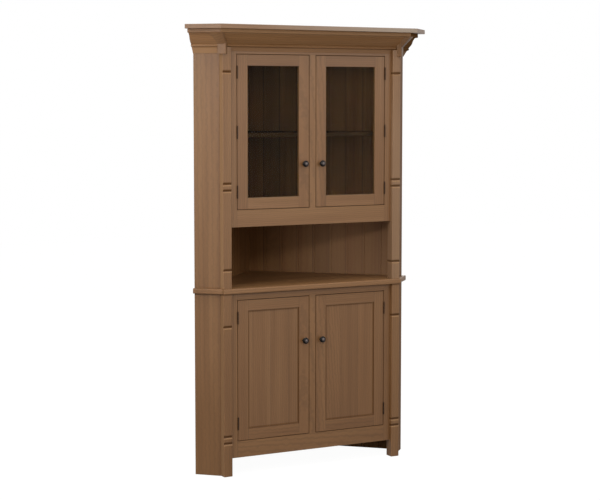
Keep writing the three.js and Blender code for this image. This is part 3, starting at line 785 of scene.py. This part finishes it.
def added(name):
    piece = alone(bpy.context.active_object)
    piece.name = name
    bpy.ops.object.transform_apply(location=True, rotation=True, scale=True)
    return piece


def pick(piece, test):
    alone(piece)
    bpy.ops.object.mode_set(mode="EDIT")
    bpy.ops.mesh.select_mode(type="FACE")
    bpy.ops.mesh.select_all(action="DESELECT")
    bpy.ops.object.mode_set(mode="OBJECT")
    for face in piece.data.polygons:
        face.select = test(face.center, face.normal)
    bpy.ops.object.mode_set(mode="EDIT")


print("pieces and faces can be picked")

# %% [markdown]
# A finished piece has rounded edges and may be joined from several. A copy has its own mesh, and
# its place goes into that mesh, so that every object stays at the origin. A mirrored copy would be
# inside out, so its normals are made consistent again.

# %% Helpers for finishing
def rounded(piece, width, segments=2):
    alone(piece)
    bevel = piece.modifiers.new("round", "BEVEL")
    bevel.width, bevel.segments = width * MM, segments
    bevel.limit_method, bevel.angle_limit = "ANGLE", math.radians(40)
    bpy.ops.object.modifier_apply(modifier="round")
    bpy.ops.object.shade_smooth_by_angle(angle=math.radians(35))
    return piece


def joined(name, pieces):
    whole = alone(*pieces)
    bpy.ops.object.join()
    whole.name = name
    return whole


def placed(piece, name, place, mirror=False):
    copy = piece.copy()
    copy.data = piece.data.copy()
    copy.name = name
    bpy.context.scene.collection.objects.link(copy)
    copy.location = place
    copy.scale.x = -1 if mirror else 1
    alone(copy)
    bpy.ops.object.transform_apply(location=True, rotation=True, scale=True)
    if mirror:
        bpy.ops.object.mode_set(mode="EDIT")
        bpy.ops.mesh.select_all(action="SELECT")
        bpy.ops.mesh.normals_make_consistent(inside=False)
        bpy.ops.object.mode_set(mode="OBJECT")
    return copy


def belongs(piece, body, slot, *nodes):
    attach(piece, body)
    if nodes:
        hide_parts(*nodes)


print("pieces can be rounded, joined, copied and given to a body")

# %% [markdown]
# A knob is a turned mushroom, 32 mm across, on a small flange. On a lathe its outline is cut step
# by step, and here it is drawn the same way: a disc is added, and its face is extruded along the
# axis and resized at each step. Two levels of subdivision, applied, make the turned curve smooth.

# %% Model one knob
FLANGE = 9.0
KNOB = [  # distance from the door and radius, mm
    (0.6, FLANGE), (1.8, 8.8), (2.6, 7.4), (3.6, 5.8), (6.5, 5.2), (9.5, 5.4),
    (11.8, 7.4), (13.4, 11.2), (15.2, 14.4), (17.4, 15.9), (19.6, 16.0),
    (22.0, 15.2), (24.6, 12.9), (26.8, 9.4), (28.2, 5.4), (28.9, 2.2),
]
FACING = (math.radians(90), 0, 0)
bpy.ops.mesh.primitive_circle_add(vertices=20, radius=FLANGE * MM, fill_type="NGON", rotation=FACING)
knob = added("knob_pattern")
bpy.ops.object.mode_set(mode="EDIT")
bpy.ops.mesh.select_mode(type="FACE")
bpy.ops.mesh.select_all(action="SELECT")
depth, radius = 0.0, FLANGE
for new_depth, new_radius in KNOB:
    step = (0, (depth - new_depth) * MM, 0)
    bpy.ops.mesh.extrude_region_move(TRANSFORM_OT_translate={"value": step})
    share = new_radius / radius
    bpy.ops.transform.resize(value=(share, 1, share), center_override=(0, -new_depth * MM, 0))
    depth, radius = new_depth, new_radius
bpy.ops.mesh.select_all(action="SELECT")
bpy.ops.mesh.normals_make_consistent(inside=False)
bpy.ops.object.mode_set(mode="OBJECT")
smooth = knob.modifiers.new("turned", "SUBSURF")
smooth.levels = smooth.render_levels = 2
bpy.ops.object.modifier_apply(modifier="turned")
bpy.ops.object.shade_smooth()
knob.data.materials.append(bronze)
print("knob reaches", round(min(v.co.y for v in knob.data.vertices) / MM, 1), "mm from the door")

# %% [markdown]
# The one knob is copied to the four doors. Each copy stands for the plain one in the drawing, at
# the middle of its box, and moves with its own door.

# %% Fit the knobs
for unit in UNITS:
    for side in SIDES:
        node = f"{unit}_door_{side}_knob"
        low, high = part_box(node)
        seat = ((low.x + high.x) / 2, high.y, (low.z + high.z) / 2)
        copy = placed(knob, f"{unit}_{side}_turned_knob", seat)
        belongs(copy, f"{unit}_door_{side}", "knob_metal", node)
bpy.data.objects.remove(knob)
print("four knobs fitted")

# %% [markdown]
# A butt hinge is two steel leaves let into the wood, rolled round one pin. The fixed leaf carries
# the two outer knuckles and the door's leaf the middle one. Each leaf is a thin cube with eased
# edges and three slotted screws, each knuckle a cylinder with rounded rims. They are modelled
# round the pin, for a hinge on the right, and mirrored for the left.

# %% Parts of a hinge
SLOT, SLOT_DEPTH = 0.8, 0.25


def plate(name, middle, size):
    place, scale = [m * MM for m in middle], [s * MM for s in size]
    bpy.ops.mesh.primitive_cube_add(size=1, location=place, scale=scale)
    return rounded(added(name), 0.3)


def roll(name, low, high, radius, rim, segments=2):
    place, length = (0, 0, (low + high) / 2 * MM), (high - low) * MM
    bpy.ops.mesh.primitive_cylinder_add(vertices=28, radius=radius * MM, depth=length, location=place)
    return rounded(added(name), rim, segments)


def slotted_screw(name, facing, place, radius, material):
    bpy.ops.mesh.primitive_cylinder_add(vertices=20, radius=radius * MM, depth=0.4 * MM)
    screw = added(name)
    for edge in (-SLOT / 2, SLOT / 2):
        pick(screw, lambda middle, normal: True)
        bpy.ops.mesh.bisect(plane_co=(edge * MM, 0, 0), plane_no=(1, 0, 0))
    pick(screw, lambda middle, normal: normal.z > 0.9 and abs(middle.x) < SLOT / 3 * MM)
    bpy.ops.mesh.extrude_region_move(TRANSFORM_OT_translate={"value": (0, 0, -SLOT_DEPTH * MM)})
    bpy.ops.object.mode_set(mode="OBJECT")
    screw.rotation_euler = Vector(facing).to_track_quat("Z", "Y").to_euler()
    screw.location = [p * MM for p in place]
    bpy.ops.object.transform_apply(location=True, rotation=True, scale=True)
    screw.data.materials.append(material)
    return screw


print("hinge parts can be made")

# %% [markdown]
# Of the pin only its ends show, as a low button above and below. The knuckles keep 0.3 mm from
# each other, as in the drawing, so the door's knuckle can turn between the fixed ones.

# %% Model both halves of a hinge
KNUCKLE, BUTTON = 3.2, 2.3
LEAF = (1.6, 15.2, 60)  # thickness, width and height, mm
SCREWS = ((-20, 11.5), (0, 7.0), (20, 11.5))  # height and distance from the pin, mm


def hinge_half(name, towards, rolls, buttons):
    parts = [plate(name + "_leaf", (towards, 8.9, 0), LEAF)]
    parts += [roll(name + "_roll", low, high, KNUCKLE, 0.4) for low, high in rolls]
    parts += [roll(name + "_button", low, high, BUTTON, 0.7, 3) for low, high in buttons]
    for part in parts:
        part.data.materials.append(hinge_steel)
    for height, depth in SCREWS:
        place = (towards * 0.2, depth, height)
        parts.append(slotted_screw(name + "_screw", (-towards, 0, 0), place, 2.7, hinge_steel))
    return joined(name, parts)


fixed_half = hinge_half("fixed_half", 1, [(-30, -10), (10, 30)], [(-31, -29.5), (29.5, 31)])
moving_half = hinge_half("moving_half", -1, [(-9.7, 9.7)], [])
print("fixed half has", len(fixed_half.data.polygons), "faces")

# %% [markdown]
# Ten hinges hang the four doors. Each stands where the drawing has it, with its pin in the middle
# of the drawn barrel, the fixed half on the case and the other on its door.

# %% Fit the hinges
LEVELS = {"lower": ("low", "top"), "upper": ("low", "mid", "top")}
for unit, levels in LEVELS.items():
    for side, sign in SIDES.items():
        for level in levels:
            stem = f"{unit}_door_{side}_hinge_{level}"
            low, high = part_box(stem + "_leaf")
            outermost = high.x if side == "right" else low.x
            pin = (outermost - sign * KNUCKLE * MM, low.y + KNUCKLE * MM, (low.z + high.z) / 2)
            name, flip = f"{unit}_{side}_{level}", side == "left"
            fixed = placed(fixed_half, f"{name}_fixed_hinge_half", pin, mirror=flip)
            belongs(fixed, "carcase", "hinge_metal", stem + "_fixed")
            turning = placed(moving_half, f"{name}_moving_hinge_half", pin, mirror=flip)
            belongs(turning, f"{unit}_door_{side}", "hinge_metal", stem + "_leaf")
for pattern in (fixed_half, moving_half):
    bpy.data.objects.remove(pattern)
print("ten hinges fitted")

# %% [markdown]
# Behind each mullion sits a double magnetic catch: a moulded housing with a round magnet towards
# each door. Each door carries a steel disc, let in flush and held by one screw, for it to hold.

# %% Catches and their discs
def disc(name, place, radius, depth):
    size = {"radius": radius * MM, "depth": depth * MM}
    bpy.ops.mesh.primitive_cylinder_add(vertices=28, location=place, rotation=FACING, **size)
    piece = rounded(added(name), 0.3)
    piece.data.materials.append(bare_steel)
    return piece


for unit in UNITS:
    node = f"{unit}_catch"
    low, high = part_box(node)
    height = (low.z + high.z) / 2
    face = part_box(f"{unit}_door_left_frame")[1].y + 0.3 * MM
    size = (high.x - low.x, high.y - face, high.z - low.z)
    bpy.ops.mesh.primitive_cube_add(size=1, location=(0, (high.y + face) / 2, height), scale=size)
    housing = added(f"{unit}_housing")
    pick(housing, lambda middle, normal: normal.y > 0.9)
    bpy.ops.mesh.inset(thickness=3 * MM)
    bpy.ops.transform.translate(value=(0, -0.8 * MM, 0))
    rounded(housing, 1.2, 3)
    housing.data.materials.append(nylon)
    seats = [(sign * 25 * MM, face + 1 * MM, height) for sign in SIDES.values()]
    magnets = [disc(f"{unit}_magnet", seat, 4.5, 2.1) for seat in seats]
    belongs(joined(f"{unit}_magnetic_catch", [housing, *magnets]), "carcase", "catch_plastic", node)
    for side, sign in SIDES.items():
        across = sign * 26 * MM
        strike = disc(f"{unit}_strike", (across, face - 1.2 * MM, height), 5.5, 1.9)
        place = (across / MM, face / MM - 0.35, height / MM)
        screw = slotted_screw(f"{unit}_strike_screw", (0, 1, 0), place, 2.0, bare_steel)
        belongs(joined(f"{unit}_{side}_strike_disc", [strike, screw]), f"{unit}_door_{side}", "hinge_metal")
print("two catches and four discs fitted")

# %% [markdown]
# Over each corner block the crown's hollow is filled out by a small flared cap: it grows out of the
# block's face and sweeps out under the fillet, wider towards the wall. It is drawn with its face
# to -Y: a plate is extruded upwards in steps, each deeper and wider than the last, so that the
# sweep hollows like the crown's, and then turned to the side panel's 45 degrees.

# %% Flared caps over the corner blocks
FLARE = [  # height, and how far the face and the far side have moved out by then, mm
    (4, 4, 0.6), (9, 8, 1.5), (14, 12.5, 3), (19, 17, 5), (24, 21.5, 7.5),
    (30, 26.5, 11), (36, 31.5, 15), (42, 36.5, 19.5), (48, 41, 24.5), (52.5, 44, 28),
]
BLOCK = 40.4  # side of the plate that the sweep starts from, mm
middle = BLOCK / 2 * MM
bpy.ops.mesh.primitive_plane_add(size=BLOCK * MM, location=(-middle, middle, 0))
flare = added("flare_pattern")
bpy.ops.object.mode_set(mode="EDIT")
bpy.ops.mesh.select_all(action="SELECT")
width = depth = BLOCK
height = 0.0
for up, out, along in FLARE:
    bpy.ops.mesh.extrude_region_move(TRANSFORM_OT_translate={"value": (0, 0, (up - height) * MM)})
    grow = ((BLOCK + along) / width, (BLOCK + out) / depth, 1)
    bpy.ops.transform.resize(value=grow, center_override=(0, BLOCK * MM, up * MM))
    width, depth, height = BLOCK + along, BLOCK + out, up
bpy.ops.mesh.select_all(action="SELECT")
bpy.ops.mesh.normals_make_consistent(inside=False)
bpy.ops.object.mode_set(mode="OBJECT")
rounded(flare, 0.8)
flare.data.materials.append(upright_case)
print("flare is", round(flare.dimensions.x / MM, 1), "mm wide at its top")

# %% [markdown]
# The pattern is turned so that its face looks out from the left side panel, and stands on the
# left block's front corner. The right one is its mirror image.

# %% Fit the flared caps
ALONG, BEHIND, BELOW = 28.75 * MM, 1.41 * MM, 18 * MM  # from the drawn block's box
low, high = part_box("corner_block_left")
flare.rotation_euler = (0, 0, math.radians(-45))
alone(flare)
bpy.ops.object.transform_apply(location=False, rotation=True, scale=False)
corner = Vector((low.x + ALONG, low.y + BEHIND, high.z - BELOW))
left_flare = placed(flare, "left_flared_cap", corner)
right_flare = placed(left_flare, "right_flared_cap", (0, 0, 0), mirror=True)
# the right cap takes the right block's darker wood, which is painted shade
right_flare.data.materials[0] = block_wood_with_shade["right"]
for piece in (left_flare, right_flare):
    belongs(piece, "carcase", "case_wood")
bpy.data.objects.remove(flare)
print("flared caps at", [round(c, 3) for c in corner])
